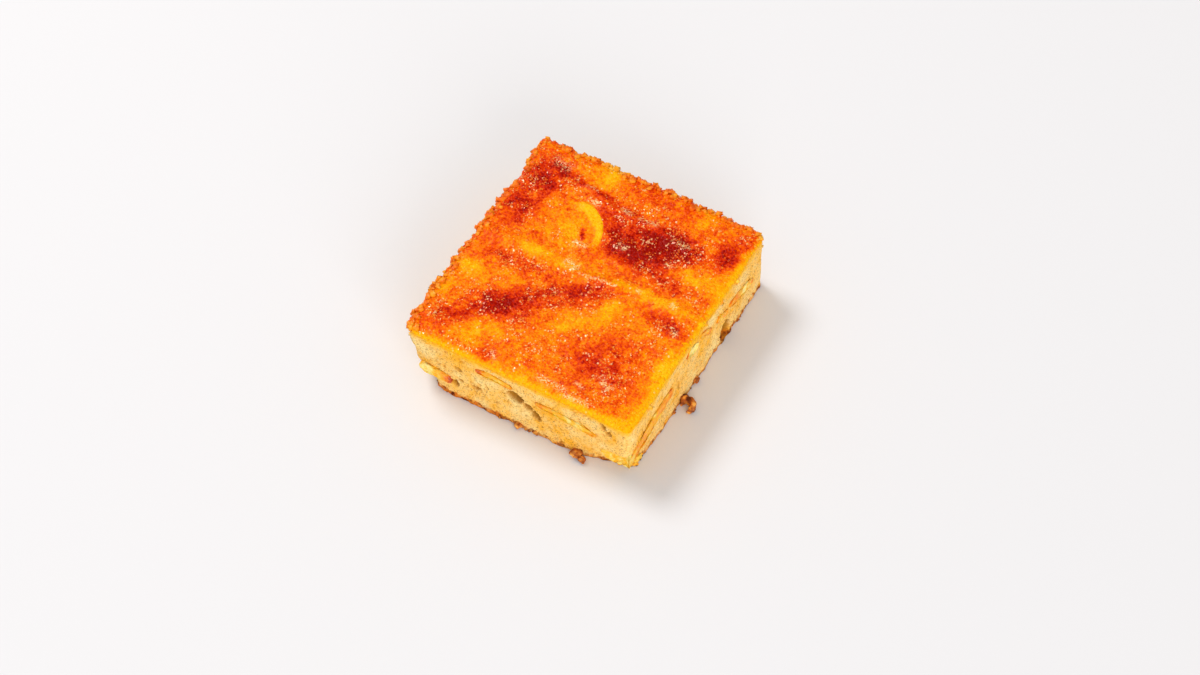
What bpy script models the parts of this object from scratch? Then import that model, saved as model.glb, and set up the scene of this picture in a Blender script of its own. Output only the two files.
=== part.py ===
"""A square-cut slice of orange upside down cake, lying with its caramelised side up.

Metres, +Z up. The origin is the centre of the slice's base. X runs across the slice and Y along it.
The walls at -Y and +X were cut with a knife; those at -X and +Y are torn and crumbly along the top.
"""

import math
import random
from collections import namedtuple

import bmesh
import bpy
from mathutils import Matrix, Vector, noise

MM = 0.001

# Driving dimensions of the slice
WIDTH = 92.5 * MM
LENGTH = 100.5 * MM
HEIGHT = 29 * MM
TOPPING = 3.0 * MM
CORNER_RADIUS = 2.6 * MM
FRONT_LEFT_RADIUS = 4.5 * MM

# Fineness of the relief, and the clearance kept between pieces that touch
FACET = 2.7 * MM
GAP = 0.3 * MM

HALF_X = WIDTH / 2
HALF_Y = LENGTH / 2
SPONGE_TOP = HEIGHT - TOPPING - GAP

# How far the walls wander, cut and torn, the size of the lumps they are made of, and how far
# the torn walls belly out between their corners
CUT_WANDER = 0.35 * MM
TORN_WANDER = 1.5 * MM
CUT_LUMP = 9 * MM
TORN_LUMP = 4.2 * MM
BACK_BELLY = 1.5 * MM
LEFT_BELLY = 1.0 * MM

# The front left corner is broken away below: how deep at its waist and at its foot, and how far round
# the corner that reaches. The foot of the front wall has crumbled away at its right end, and a tuft of
# crumb stands out at the back left corner.
BREAK_WAIST = 2.2 * MM
BREAK_FOOT = 7.5 * MM
BREAK_REACH = 8.5 * MM
CRUMBLE_FOOT = 4.6 * MM
CRUMBLE_REACH = 13 * MM
TUFT = 2.4 * MM
TUFT_REACH = 9 * MM

# The brown bottom crust is a thin ragged skin that stands out from the crumb
CRUST = 1.4 * MM
CRUST_LIP = 0.6 * MM
CRUST_LUMP = 2.6 * MM

# The caramelised surface lies this far below the full height, swells in two sizes of wave, rounds off
# towards its edges and sinks towards the front right corner
TOP_DROP = 0.45 * MM
SWELLS = ((17 * MM, 0.45 * MM), (5.5 * MM, 0.3 * MM))
SHOULDER_DROP = 0.8 * MM
SHOULDER_WIDTH = 4.5 * MM
CORNER_DROP = 0.8 * MM
CORNER_REACH = 24 * MM

# Linear colours of the crumb, the caramel and the orange
CRUMB_COLOUR = (0.88, 0.60, 0.22)
CARAMEL_COLOUR = (0.85, 0.22, 0.01)
FLESH_COLOUR = (0.95, 0.50, 0.02)
RIM_COLOUR = (0.95, 0.48, 0.02)

# How far a moist piece of fruit stands out of the wall that the knife cut
FRUIT_PROUD = 0.4 * MM

Wall = namedtuple("Wall", "origin along inward")
WALLS = {
    "front": Wall(Vector((0, -HALF_Y, 0)), Vector((1, 0, 0)), Vector((0, 1, 0))),
    "right": Wall(Vector((HALF_X, 0, 0)), Vector((0, 1, 0)), Vector((-1, 0, 0))),
    "back": Wall(Vector((0, HALF_Y, 0)), Vector((-1, 0, 0)), Vector((0, -1, 0))),
    "left": Wall(Vector((-HALF_X, 0, 0)), Vector((0, -1, 0)), Vector((1, 0, 0))),
}

# A slice of orange in a wall: where its middle lies along and up the wall, its length along the wall,
# how deep it runs into the crumb, its thickness, its slope in degrees, how much it bows upwards and
# how far its middle lies behind the wall.
Fruit = namedtuple("Fruit", "name wall along up length depth thick slope bow sunk")
FRUITS = [
    Fruit("front_1", "front", -34.2, 8.8, 14, 12, 5.0, -3, 0.4, 3.0),
    Fruit("front_2", "front", -9.6, 21.4, 15, 12, 2.8, -5, 0.5, 0),
    Fruit("front_3", "front", 20.0, 17.2, 25, 16, 3.0, -7, 0.8, 0),
    Fruit("corner", "right", -36.5, 11.0, 38, 14, 6.2, 14, 1.0, 0),
    Fruit("right_1", "right", -4.2, 22.0, 8.8, 9, 4.0, -15, 0.2, 0),
    Fruit("right_2", "right", 6.4, 20.2, 12, 11, 2.5, -38, 0.3, 0),
    Fruit("right_3", "right", 18.9, 15.6, 8.6, 10, 3.2, -20, 0.3, 0),
    Fruit("right_4", "right", 33.3, 13.4, 19, 14, 4.4, -17, 0.6, 0),
    Fruit("back_1", "back", -19, 12.4, 19, 14, 3.6, 8, 0.7, 0),
    Fruit("back_2", "back", 5, 18.6, 16, 13, 3.0, -9, 0.5, 0),
    Fruit("back_3", "back", 27, 10.8, 23, 15, 4.2, 6, 0.8, 0),
    Fruit("left_1", "left", -22, 14.2, 22, 13, 3.8, 9, 0.6, 0),
    Fruit("left_2", "left", 4, 18.4, 13, 12, 2.8, -12, 0.3, 0),
    Fruit("left_3", "left", 24, 11.2, 18, 12, 4.0, -6, 0.5, 0),
]

# An air hole in a wall: its middle along and up the wall, its width, height, depth and turn in degrees
Hole = namedtuple("Hole", "wall along up width height depth turn")
HOLES = [
    Hole("front", -0.6, 16.6, 7.4, 4.6, 3.2, -28),
    Hole("front", 5.0, 13.6, 4.8, 3.6, 2.6, -50),
    Hole("front", 7.4, 10.2, 2.6, 4.8, 2.8, 16),
    Hole("front", 35.4, 23.2, 2.2, 4.2, 2.4, 20),
    Hole("front", 37.6, 20.6, 2.8, 2.4, 2.2, 10),
    Hole("front", -24.4, 17.6, 3.4, 2.2, 1.8, -15),
    Hole("front", -23.4, 11.6, 2.4, 1.8, 1.5, 0),
    Hole("front", -16.8, 11.0, 4.2, 2.4, 1.7, 12),
    Hole("front", -25.6, 8.4, 3.2, 3.0, 3.0, 0),
    Hole("right", 21.2, 4.4, 7.4, 10.4, 3.4, 0),
    Hole("right", -13.5, 12.0, 1.8, 4.6, 1.8, 10),
]
HIDDEN_HOLES_PER_WALL = 7

# Bits of bottom crust and crumb that hang on at the foot: their wall, how far along it, out from it
# and up it their middle is, their three sizes and their turn in degrees
Flake = namedtuple("Flake", "wall along out up long wide tall turn")
FLAKES = [
    Flake("right", -1.6, 0.5, 1.5, 3.2, 2.6, 2.2, 15),
    Flake("right", -11.2, 0.9, 1.4, 4.2, 3.4, 2.6, -20),
    Flake("front", 25.2, 1.0, 1.6, 4.6, 4.4, 2.6, -25),
    Flake("front", 28.2, 2.2, 1.2, 3.2, 2.8, 2.2, -40),
    Flake("front", 0.7, 0.8, 1.3, 3.0, 2.6, 2.2, 10),
    Flake("back", 14.0, 0.8, 1.5, 4.0, 2.8, 2.6, 15),
    Flake("left", -30.0, 0.8, 1.4, 3.6, 2.6, 2.6, -30),
]

# The curled flake of brown crust at the right wall: its middle, radius, thickness and height, and the
# angles between which it runs round
CURL_ALONG = -13.2
CURL_OUT = 3.4
CURL_RADIUS = 2.1
CURL_THICK = 2.0
CURL_TALL = 4.4
CURL_ARC = (-150, 95)
CURL_STEPS = 6

# Folds that the lining paper pressed into the caramel: two ends across and along the slice, width, height
Fold = namedtuple("Fold", "x0 y0 x1 y1 width height")
FOLDS = [
    Fold(-45, 2.5, -6, 2.0, 3.4, 0.55),
    Fold(-8, 1.2, 14, 3.4, 1.6, 0.85),
    Fold(10, 4.2, 46, 4.4, 3.0, 0.6),
    Fold(-24, 38.2, -11, 35.2, 1.3, 0.55),
    Fold(-21, 33.4, 12, 33.6, 1.4, 0.6),
    Fold(8, 33.4, 29, 29.6, 1.4, 0.55),
    Fold(-8, 21.6, 24, 19.4, 1.6, 0.5),
    Fold(-26, 29.4, -8, 31.2, 1.2, 0.4),
    Fold(-14, 12.6, 12, 13.0, 1.8, 0.35),
]

# The slice of orange that lies in the caramel, its rim bare on one side
TOP_SLICE_X = -15.4 * MM
TOP_SLICE_Y = 18.0 * MM
TOP_SLICE_SIZE = (21 * MM, 27 * MM)
TOP_SLICE_THICK = 1.9 * MM
TOP_SLICE_TURN = math.radians(24)
TOP_SLICE_LEVEL = HEIGHT - 0.3 * MM


def smooth(low, high, value):
    """0 at low, 1 at high and an easy curve between."""
    share = min(1.0, max(0.0, (value - low) / (high - low)))
    return share * share * (3 - 2 * share)


def on_wall(wall, along, up, into=0.0):
    """The point of a wall that many millimetres along it, up it and into the crumb."""
    place = WALLS[wall]
    return place.origin + place.along * (along * MM) + place.inward * (into * MM) + Vector((0, 0, up * MM))


def wall_turn(wall):
    """The rotation that lays local X along a wall and local Y into the crumb."""
    place = WALLS[wall]
    return Matrix((place.along, place.inward, place.along.cross(place.inward))).transposed().to_4x4()


def outward(point):
    """The direction that the wall faces at a point of the block's outline; nothing away from the walls."""
    reach = 8 * MM
    facing = Vector((max(0.0, abs(point.x) - HALF_X + reach), max(0.0, abs(point.y) - HALF_Y + reach), 0))
    if facing.length < reach * 0.95:
        return Vector((0, 0, 0))
    facing.x = math.copysign(facing.x**4, point.x)
    facing.y = math.copysign(facing.y**4, point.y)
    return facing.normalized()


def belly(wall, x, y):
    """How far a torn wall stands out at a point along it; the cut walls are flat."""
    if wall == "back":
        return BACK_BELLY * max(0.0, 1 - ((x - 4 * MM) / (48 * MM)) ** 2)
    if wall == "left":
        return LEFT_BELLY * max(0.0, 1 - ((y + 14 * MM) / (50 * MM)) ** 2)
    return 0.0


def corner_shift(point):
    """The move that shapes three corners: broken, crumbled at its foot, and tufted."""
    away = (point.xy - Vector((-HALF_X, -HALF_Y))).length
    broken = BREAK_WAIST * smooth(23 * MM, 13 * MM, point.z)
    broken += BREAK_FOOT * smooth(11 * MM, 2.5 * MM, point.z)
    broken *= math.exp(-((away / BREAK_REACH) ** 2))
    away = (point.xy - Vector((HALF_X, -HALF_Y))).length
    crumbled = CRUMBLE_FOOT * smooth(7.5 * MM, 1.5 * MM, point.z)
    crumbled *= math.exp(-((away / CRUMBLE_REACH) ** 2))
    away = (point.xy - Vector((-HALF_X, HALF_Y))).length
    tuft = TUFT * smooth(14 * MM, 22 * MM, point.z) * math.exp(-((away / TUFT_REACH) ** 2))
    diagonal = Vector((broken - tuft, broken + tuft, 0)) * math.sqrt(0.5)
    return diagonal + Vector((-0.2 * crumbled, crumbled, 0))


def wall_shift(point, seed=0.0):
    """The move that turns a flat wall into a cut or torn one at that point."""
    facing = outward(point)
    torn = max(0.0, -facing.x, facing.y)
    place = Vector((point.x, point.y, point.z + seed))
    lump = noise.noise(place / TORN_LUMP) * 0.7 + noise.noise(place / (TORN_LUMP * 0.45)) * 0.5
    wander = noise.noise(place / CUT_LUMP) * CUT_WANDER
    upper = 0.35 + 0.65 * smooth(HEIGHT * 0.6, HEIGHT * 0.9, point.z)
    out = wander + torn * lump * TORN_WANDER * upper
    foot = 1 - smooth(0, CRUST * 1.6, point.z)
    out += CRUST_LIP * foot * (0.3 + noise.noise(place / CRUST_LUMP))
    out += max(0.0, -facing.x) * belly("left", point.x, point.y)
    out += max(0.0, facing.y) * belly("back", point.x, point.y)
    round_edge = 2 * min(abs(facing.x), abs(facing.y))
    return facing * out * (1 - 0.5 * round_edge) + corner_shift(point)


def fold_height(fold, x, y):
    """Height that one fold adds at a point of the top, x and y in millimetres."""
    start = Vector((fold.x0, fold.y0))
    run = Vector((fold.x1, fold.y1)) - start
    away = Vector((x, y)) - start
    share = away.dot(run) / run.length_squared
    across = abs(run.cross(away)) / run.length
    ends = smooth(-0.12, 0.12, share) * smooth(1.12, 0.88, share)
    return fold.height * ends * math.exp(-((across / fold.width) ** 2))


def top_relief(x, y):
    """How far the caramelised surface stands above or below the full height at a point."""
    folds = sum(fold_height(fold, x / MM, y / MM) for fold in FOLDS) * MM
    swell = sum(height * noise.noise(Vector((x, y, 0)) / length) for length, height in SWELLS)
    margin = min(HALF_X - abs(x), HALF_Y - abs(y))
    shoulder = SHOULDER_DROP * smooth(SHOULDER_WIDTH, 0, margin) ** 1.6
    reach = math.hypot(x - HALF_X, y + HALF_Y) / CORNER_REACH
    return folds + swell - TOP_DROP - shoulder - CORNER_DROP * math.exp(-(reach**2))


def slab(low, high, courses):
    """The slice's rectangle from one height to another, its upright edges rounded, cut into facets."""
    bm = bmesh.new()
    bmesh.ops.create_cube(bm, size=1)
    bmesh.ops.scale(bm, vec=(WIDTH, LENGTH, high - low), verts=bm.verts)
    bmesh.ops.translate(bm, vec=(0, 0, (low + high) / 2), verts=bm.verts)
    upright = [e for e in bm.edges if abs(e.verts[0].co.z - e.verts[1].co.z) > (high - low) / 2]
    front_left = [e for e in upright if e.verts[0].co.x < 0 and e.verts[0].co.y < 0]
    others = [e for e in upright if e not in front_left]
    for edges, radius in ((others, CORNER_RADIUS), (front_left, FRONT_LEFT_RADIUS)):
        bmesh.ops.bevel(bm, geom=edges, offset=radius, segments=3, profile=0.5, affect="EDGES")
    for axis, size in (("X", WIDTH), ("Y", LENGTH)):
        count = round(size / FACET)
        for step in range(1, count):
            cut_across(bm, axis, size * (step / count - 0.5))
    for height in courses:
        cut_across(bm, "Z", height)
    return bm


def cut_across(bm, axis, at):
    """Adds a loop of edges where the plane square to an axis crosses the mesh."""
    normal = Vector([axis == name for name in "XYZ"])
    geometry = bm.verts[:] + bm.edges[:] + bm.faces[:]
    bmesh.ops.bisect_plane(bm, geom=geometry, dist=1e-6, plane_co=normal * at, plane_no=normal)


def flat_face(bm, height):
    """Makes one face of all those that lie at a height."""
    lying = [f for f in bm.faces if all(abs(v.co.z - height) < 1e-6 for v in f.verts)]
    bmesh.ops.dissolve_faces(bm, faces=lying, use_verts=False)


def named_object(name, bm, collection, material=None):
    """A mesh object in a collection, shaded smooth but for its sharp edges."""
    bmesh.ops.triangulate(bm, faces=bm.faces)
    bmesh.ops.recalc_face_normals(bm, faces=bm.faces)
    mesh = bpy.data.meshes.new(name)
    bm.to_mesh(mesh)
    bm.free()
    mesh.shade_smooth()
    mesh.set_sharp_from_angle(angle=math.radians(40))
    obj = bpy.data.objects.new(name, mesh)
    collection.objects.link(obj)
    if material:
        mesh.materials.append(material)
    return obj


def apply_boolean(obj, operation, cutters):
    """Cuts or joins each object of a collection in turn, applies the result, and removes those objects."""
    for cutter in cutters.objects:
        modifier = obj.modifiers.new(operation.title(), "BOOLEAN")
        modifier.operation = operation
        modifier.object = cutter
        modifier.solver = "EXACT"
    graph = bpy.context.evaluated_depsgraph_get()
    mesh = bpy.data.meshes.new_from_object(obj.evaluated_get(graph))
    obj.modifiers.clear()
    obj.data = mesh
    for cutter in list(cutters.objects):
        bpy.data.objects.remove(cutter)


def lens(size, grow=0.0, around=14, layers=5, bluntness=0.8):
    """A flattened ball with blunt ends, centred on the origin, larger all round by grow."""
    bm = bmesh.new()
    bmesh.ops.create_uvsphere(bm, u_segments=around, v_segments=layers, radius=1)
    for vert in bm.verts:
        blunt = [math.copysign(abs(c) ** bluntness, c) for c in vert.co]
        vert.co = Vector([b * (s / 2 + grow) for b, s in zip(blunt, size)])
    return bm


def fruit_body(fruit, grow=0.0):
    """A slice of orange bedded in a wall, whole on both sides of it."""
    bm = lens((fruit.length * MM, 2 * fruit.depth * MM, fruit.thick * MM), grow)
    half = fruit.length * MM / 2
    for vert in bm.verts:
        vert.co.z += fruit.bow * MM * (1 - (vert.co.x / half) ** 2)
        vert.co.z += 0.5 * MM * noise.noise(Vector((vert.co.x / (6 * MM), fruit.along, fruit.up)))
    slope = Matrix.Rotation(math.radians(-fruit.slope), 4, "Y")
    place = Matrix.Translation(on_wall(fruit.wall, fruit.along, fruit.up, fruit.sunk))
    bm.transform(place @ wall_turn(fruit.wall) @ slope)
    return bm


def trim_to_walls(bm, fruit):
    """Cuts off what stands too far out of the slice's walls, and closes the cuts."""
    for name, wall in WALLS.items():
        place = on_wall(fruit.wall, fruit.along, fruit.up)
        plane = wall.origin - wall.inward * (FRUIT_PROUD + belly(name, place.x, place.y))
        geometry = bm.verts[:] + bm.edges[:] + bm.faces[:]
        bmesh.ops.bisect_plane(
            bm, geom=geometry, dist=1e-7, plane_co=plane, plane_no=-wall.inward, clear_outer=True
        )
        bmesh.ops.holes_fill(bm, edges=[e for e in bm.edges if e.is_boundary], sides=0)


def plain_material(name, colour, roughness):
    """A Principled material of one colour; the colour is linear."""
    material = bpy.data.materials.new(name)
    material.use_nodes = True
    shader = material.node_tree.nodes["Principled BSDF"]
    shader.inputs["Base Color"].default_value = (*colour, 1)
    shader.inputs["Roughness"].default_value = roughness
    shader.inputs["Metallic"].default_value = 0
    return material


def hole_body(hole):
    """A rounded air hole, ready to be cut from the crumb."""
    bm = lens((hole.width * MM, 2 * hole.depth * MM, hole.height * MM), around=9, layers=5, bluntness=0.9)
    turn = Matrix.Rotation(math.radians(-hole.turn), 4, "Y")
    place = on_wall(hole.wall, hole.along, hole.up)
    place -= WALLS[hole.wall].inward * belly(hole.wall, place.x, place.y)
    bm.transform(Matrix.Translation(place) @ wall_turn(hole.wall) @ turn)
    return bm


def hidden_holes():
    """Air holes like those of the front wall, scattered over the two walls that face away."""
    draw = random.Random(7)
    for wall, reach in (("back", 40), ("left", 44)):
        for index in range(HIDDEN_HOLES_PER_WALL):
            along = reach * (2 * (index + 0.5) / HIDDEN_HOLES_PER_WALL - 1) + draw.uniform(-3, 3)
            up = draw.choice((6, 9, 22)) + draw.uniform(-1.2, 1.2)
            width = draw.uniform(2.2, 4.6)
            height = width * draw.uniform(0.5, 0.8)
            yield Hole(wall, along, up, width, height, draw.uniform(2.4, 3.2), draw.uniform(-40, 40))


def curl():
    """The lumps that make up the curled flake, each standing where the curl passes."""
    for step in range(CURL_STEPS):
        share = step / (CURL_STEPS - 1)
        angle = math.radians(CURL_ARC[0] + share * (CURL_ARC[1] - CURL_ARC[0]))
        along = CURL_ALONG + CURL_RADIUS * math.cos(angle)
        out = CURL_OUT - CURL_RADIUS * math.sin(angle)
        tall = CURL_TALL * (1 - 0.35 * abs(share - 0.4))
        turn = math.degrees(angle) + 90
        yield Flake("right", along, out, tall / 2, 1.5 * CURL_THICK, CURL_THICK, tall, turn)


def flake_body(flake):
    """A bit of crust that clings to the foot of a wall."""
    bm = lens((flake.long * MM, flake.wide * MM, flake.tall * MM), around=8, layers=5)
    for vert in bm.verts:
        vert.co += vert.co * 0.5 * noise.noise(vert.co / (1.6 * MM) + Vector((flake.along, 0, 0)))
    turn = Matrix.Rotation(math.radians(flake.turn), 4, "Z")
    place = Matrix.Translation(on_wall(flake.wall, flake.along, flake.up, -flake.out))
    bm.transform(place @ wall_turn(flake.wall) @ turn)
    for vert in bm.verts:
        vert.co.z = max(vert.co.z, 0.15 * MM)
    return bm


def make_sponge(parts, tools):
    """The crumb: one block with ragged walls, air holes, and a pocket round each slice of orange."""
    rows = max(3, round(SPONGE_TOP / FACET))
    courses = [CRUST] + [SPONGE_TOP * row / rows for row in range(1, rows)]
    bm = slab(0, SPONGE_TOP, courses)
    flat_face(bm, 0)
    flat_face(bm, SPONGE_TOP)
    for vert in bm.verts:
        vert.co += wall_shift(vert.co)
    sponge = named_object("sponge", bm, parts, plain_material("sponge_crumb", CRUMB_COLOUR, 0.85))
    for flake in FLAKES + list(curl()):
        named_object("flake", flake_body(flake), tools)
    apply_boolean(sponge, "UNION", tools)
    for hole in HOLES + list(hidden_holes()):
        named_object("hole", hole_body(hole), tools)
    for fruit in FRUITS:
        named_object("pocket", fruit_body(fruit, GAP), tools)
    apply_boolean(sponge, "DIFFERENCE", tools)


def make_fruit(parts):
    """The slices of orange that show in the walls, each cut off where the knife went through."""
    material = plain_material("orange_flesh", FLESH_COLOUR, 0.35)
    for fruit in FRUITS:
        bm = fruit_body(fruit)
        trim_to_walls(bm, fruit)
        named_object("orange_slice_" + fruit.name, bm, parts, material)


def top_slice_body(grow=0.0):
    """The oval slice of orange in the top, bedded level with the caramel."""
    width, length = TOP_SLICE_SIZE
    bm = lens((width, length, TOP_SLICE_THICK), grow, around=20, layers=5, bluntness=0.9)
    turn = Matrix.Rotation(TOP_SLICE_TURN, 4, "Z")
    place = Matrix.Translation((TOP_SLICE_X, TOP_SLICE_Y, TOP_SLICE_LEVEL - TOP_SLICE_THICK / 2))
    bm.transform(place @ turn)
    return bm


def make_topping(parts, tools):
    """The layer of caramel and orange, flat below where it sits on the crumb and rumpled above."""
    base = HEIGHT - TOPPING
    bm = slab(base, HEIGHT, [])
    flat_face(bm, base)
    for vert in bm.verts:
        upper = vert.co.z > base + GAP
        vert.co += wall_shift(vert.co, seed=TOPPING if upper else 0.0)
        if upper:
            vert.co.z = HEIGHT + top_relief(vert.co.x, vert.co.y)
    topping = named_object("caramel_topping", bm, parts, plain_material("caramel", CARAMEL_COLOUR, 0.3))
    pocket = top_slice_body(GAP)
    for vert in pocket.verts:
        if vert.co.z > TOP_SLICE_LEVEL - TOP_SLICE_THICK / 2:
            vert.co.z += TOPPING
    named_object("pocket", pocket, tools)
    apply_boolean(topping, "DIFFERENCE", tools)
    rim = plain_material("orange_rim", RIM_COLOUR, 0.3)
    named_object("orange_slice_top", top_slice_body(), parts, rim)


def centre_on_origin(parts):
    """Moves the meshes so that the middle of their common bounding box's underside is the origin."""
    corners = [vert.co for obj in parts.objects for vert in obj.data.vertices]
    low, high = ([pick(c[axis] for c in corners) for axis in range(3)] for pick in (min, max))
    middle = Vector(((low[0] + high[0]) / 2, (low[1] + high[1]) / 2, low[2]))
    for obj in parts.objects:
        obj.data.transform(Matrix.Translation(-middle))


def main():
    """Builds the slice in an emptied scene."""
    for obj in list(bpy.data.objects):
        bpy.data.objects.remove(obj)
    parts = bpy.data.collections.new("orange_upside_down_cake")
    tools = bpy.data.collections.new("cutters")
    for collection in (parts, tools):
        bpy.context.scene.collection.children.link(collection)
    make_sponge(parts, tools)
    make_fruit(parts)
    make_topping(parts, tools)
    centre_on_origin(parts)


main()
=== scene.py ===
import math
import random
from collections import namedtuple

import bpy
import numpy as np
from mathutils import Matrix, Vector, noise


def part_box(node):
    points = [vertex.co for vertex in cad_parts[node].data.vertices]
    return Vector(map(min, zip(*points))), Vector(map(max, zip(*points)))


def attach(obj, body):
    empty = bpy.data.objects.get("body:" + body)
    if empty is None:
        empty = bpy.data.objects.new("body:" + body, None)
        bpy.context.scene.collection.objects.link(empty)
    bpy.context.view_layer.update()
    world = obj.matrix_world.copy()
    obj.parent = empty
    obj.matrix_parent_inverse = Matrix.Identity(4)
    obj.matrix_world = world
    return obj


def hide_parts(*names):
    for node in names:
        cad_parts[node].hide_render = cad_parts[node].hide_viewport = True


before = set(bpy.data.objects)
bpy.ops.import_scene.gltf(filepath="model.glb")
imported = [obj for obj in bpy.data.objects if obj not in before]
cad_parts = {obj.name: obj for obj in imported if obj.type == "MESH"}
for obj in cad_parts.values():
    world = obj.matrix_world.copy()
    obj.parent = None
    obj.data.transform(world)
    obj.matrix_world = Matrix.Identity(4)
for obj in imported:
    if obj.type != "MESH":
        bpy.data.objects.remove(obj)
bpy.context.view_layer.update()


# Slices of orange baked into the crumb
# Half-moons of peeled orange, soft and stained by the syrup, that the knife cut through with the crumb.
# They show as yellow lenses in the walls, red where the syrup caught their ends. All sizes are in
# millimetres on the slab itself, with its middle as origin.
WIDTH, LENGTH, HEIGHT = 92.5, 100.5, 29.0
HALF = np.array([WIDTH, LENGTH]) / 2
TOP_SLICE_PLACE = np.array([-15.4, 18.0])
FRUIT_PROUD = 0.1
FRUIT_BLUNT = 0.7
FRUIT_FACETS = 150, 56

Wall = namedtuple("Wall", "origin along inward")
WALLS = {
    "front": Wall((0, -HALF[1], 0), (1, 0, 0), (0, 1, 0)),
    "right": Wall((HALF[0], 0, 0), (0, 1, 0), (-1, 0, 0)),
    "back": Wall((0, HALF[1], 0), (-1, 0, 0), (0, -1, 0)),
    "left": Wall((-HALF[0], 0, 0), (0, -1, 0), (1, 0, 0)),
}

# Where a slice's middle lies along and up its wall, its length, its depth into the crumb, its thickness,
# its slope in degrees, its bow, how far it is sunk, and how ripe it is from one end to the other:
# 0 is pale yellow, 0.5 orange and 1 the red brown of burnt syrup.
Fruit = namedtuple("Fruit", "name wall along up length depth thick slope bow sunk ripe")
FRUITS = [
    Fruit("front_1", "front", -34.2, 8.8, 14, 12, 5.0, -3, 0.4, 3.0, (0.15, 0.1, 0.35, 0.95)),
    Fruit("front_2", "front", -9.6, 21.4, 15, 12, 2.8, -5, 0.5, 0, (0.8, 0.35, 0.2, 0.5)),
    Fruit("front_3", "front", 20.0, 17.2, 25, 16, 3.0, -7, 0.8, 0, (0.55, 0.3, 0.12, 0.4)),
    Fruit("corner", "right", -36.5, 11.0, 38, 14, 6.2, 14, 1.0, 0, (0.0, 0.5, 0.36, 0.55)),
    Fruit("right_1", "right", -4.2, 22.0, 8.8, 9, 4.0, -15, 0.2, 0, (0.85, 0.0, 0.0, 0.1)),
    Fruit("right_2", "right", 6.4, 20.2, 12, 11, 2.5, -38, 0.3, 0, (0.35, 0.4, 0.4, 0.35)),
    Fruit("right_3", "right", 18.9, 15.6, 8.6, 10, 3.2, -20, 0.3, 0, (0.45, 0.35, 0.4, 0.45)),
    Fruit("right_4", "right", 33.3, 13.4, 19, 14, 4.4, -17, 0.6, 0, (0.55, 0.45, 0.1, 0.6)),
    Fruit("back_1", "back", -19, 12.4, 19, 14, 3.6, 8, 0.7, 0, (0.7, 0.3, 0.2, 0.6)),
    Fruit("back_2", "back", 5, 18.6, 16, 13, 3.0, -9, 0.5, 0, (0.9, 0.35, 0.3, 0.5)),
    Fruit("back_3", "back", 27, 10.8, 23, 15, 4.2, 6, 0.8, 0, (0.5, 0.2, 0.35, 0.85)),
    Fruit("left_1", "left", -22, 14.2, 22, 13, 3.8, 9, 0.6, 0, (0.8, 0.3, 0.25, 0.5)),
    Fruit("left_2", "left", 4, 18.4, 13, 12, 2.8, -12, 0.3, 0, (0.5, 0.3, 0.4, 0.9)),
    Fruit("left_3", "left", 24, 11.2, 18, 12, 4.0, -6, 0.5, 0, (0.6, 0.25, 0.2, 0.7)),
]

# How far the walls stray from their flat places, in lumps of what size, the lip of crust at the foot, and
# how far three corners are broken away, crumbled and tufted
CUT_WANDER, TORN_WANDER = 0.35, 1.5
CUT_LUMP, TORN_LUMP, CRUST_LUMP = 9.0, 4.2, 2.6
CRUST, CRUST_LIP = 1.4, 0.6
BACK_BELLY, LEFT_BELLY = 1.5, 1.0
BREAK_WAIST, BREAK_FOOT, BREAK_REACH = 2.2, 7.5, 8.5
CRUMBLE_FOOT, CRUMBLE_REACH = 4.6, 13.0
TUFT, TUFT_REACH = 2.4, 9.0

# The top slice's box shows where the slab's middle lies in the frame
low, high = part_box("orange_slice_top")
MIDDLE = np.array([low.x + high.x, low.y + high.y, 0]) * 500 - np.append(TOP_SLICE_PLACE, 0)


def ease(start, end, value):
    """0 at start, 1 at end and an easy curve between; start may be the larger."""
    share = np.clip((value - start) / (end - start), 0, 1)
    return share * share * (3 - 2 * share)


def ripple(points, size, seed=0.0):
    """A smooth random value from about -1 to 1 for each point, in lumps of that many millimetres."""
    return np.array([noise.noise(p) for p in ((points + seed) / size).tolist()])


def turned(a, b, degrees):
    """Two measures of a plane after a turn in it."""
    angle = math.radians(degrees)
    return a * math.cos(angle) - b * math.sin(angle), a * math.sin(angle) + b * math.cos(angle)


def belly(x, y, facing):
    """How far the torn walls stand out between their corners."""
    back = BACK_BELLY * np.clip(1 - ((x - 4) / 48) ** 2, 0, None)
    left = LEFT_BELLY * np.clip(1 - ((y + 14) / 50) ** 2, 0, None)
    return np.clip(facing[:, 1], 0, None) * back + np.clip(-facing[:, 0], 0, None) * left


def wander(points, facing):
    """How far a wall stands out of its flat place: a little where it was cut, in lumps where torn."""
    z = points[:, 2]
    torn = np.clip(np.maximum(-facing[:, 0], facing[:, 1]), 0, None)
    lump = 0.7 * ripple(points, TORN_LUMP) + 0.5 * ripple(points, TORN_LUMP * 0.45)
    crags = 0.45 * ripple(points, 1.5, 3) + 0.3 * ripple(points, 0.8, 5)
    upper = 0.35 + 0.65 * ease(HEIGHT * 0.6, HEIGHT * 0.9, z)
    out = CUT_WANDER * ripple(points, CUT_LUMP) + torn * upper * (lump * TORN_WANDER + crags)
    foot = 1 - ease(0, CRUST * 1.6, z)
    out = out + CRUST_LIP * foot * (0.3 + ripple(points, CRUST_LUMP))
    out = out + belly(points[:, 0], points[:, 1], facing)
    corner = 2 * np.minimum(np.abs(facing[:, 0]), np.abs(facing[:, 1]))
    return out * (1 - 0.5 * corner)


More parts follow.
